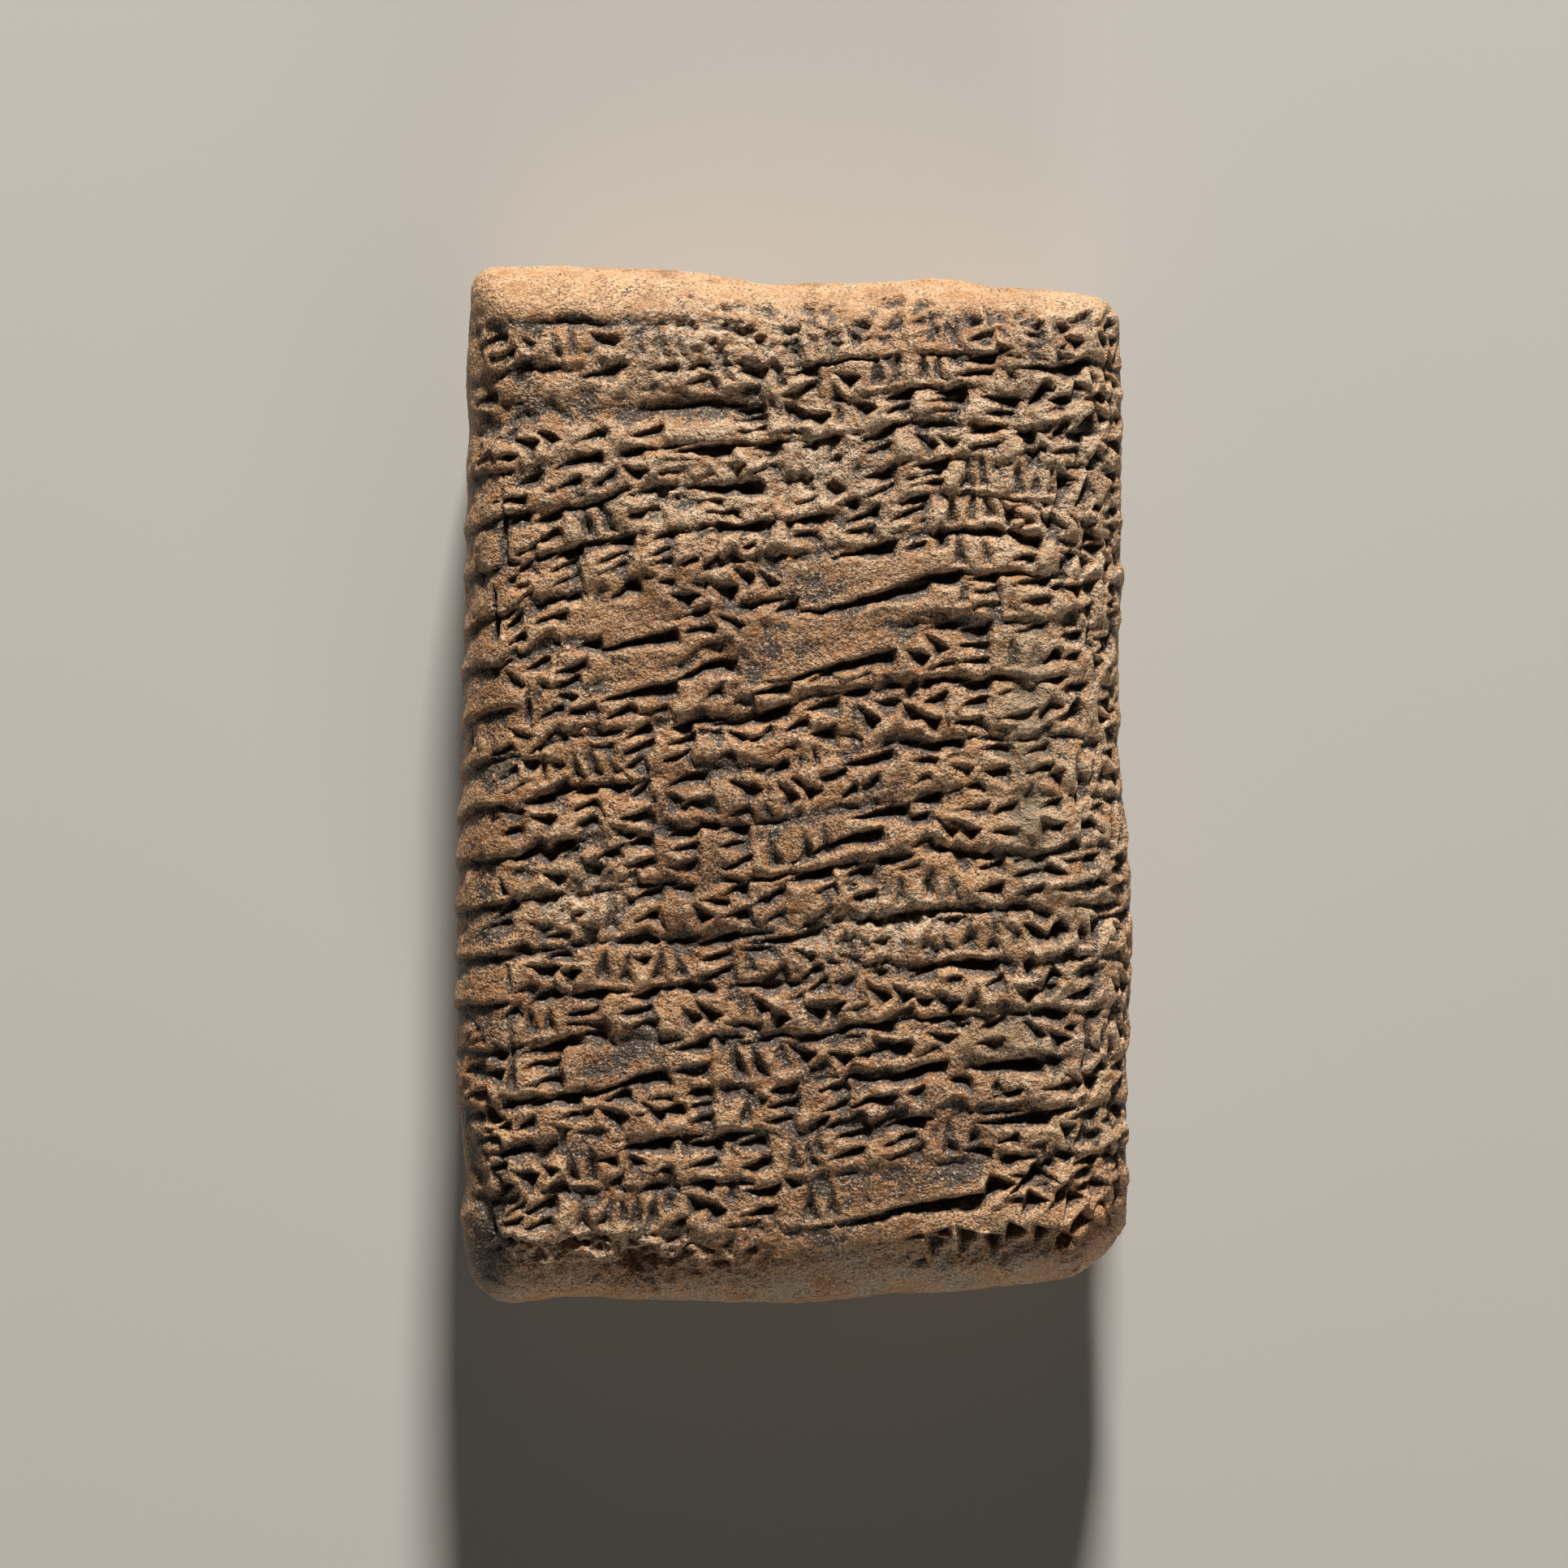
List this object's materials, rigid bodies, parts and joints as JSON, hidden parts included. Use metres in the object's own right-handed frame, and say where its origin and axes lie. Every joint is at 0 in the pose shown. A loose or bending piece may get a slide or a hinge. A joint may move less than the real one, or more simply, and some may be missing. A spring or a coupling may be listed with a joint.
{
  "type": "cuneiform tablet",
  "caption": "Pillow-shaped clay writing tablet with rows of wedge strokes on its face and round its right edge, and a broken lower corner.",
  "frame": {"origin": "middle of the bounding box in plan, on the surface that the tablet lies on, which is the flat of its back", "axes": "+X to the right and +Y up as one looks at the written face with its broken corner at the lower right, +Z out of that face. Seen so, the writing stands upside down"},
  "size_m": [0.0682, 0.1044, 0.0271],
  "materials": {
    "fired_clay": "matt, dry and grainy orange-brown clay, speckled dark and pale, with pale dust in the strokes and a greyer foot"
  },
  "bodies": {
    "root": {"tablet": "fired_clay"}
  },
  "joints": []
}
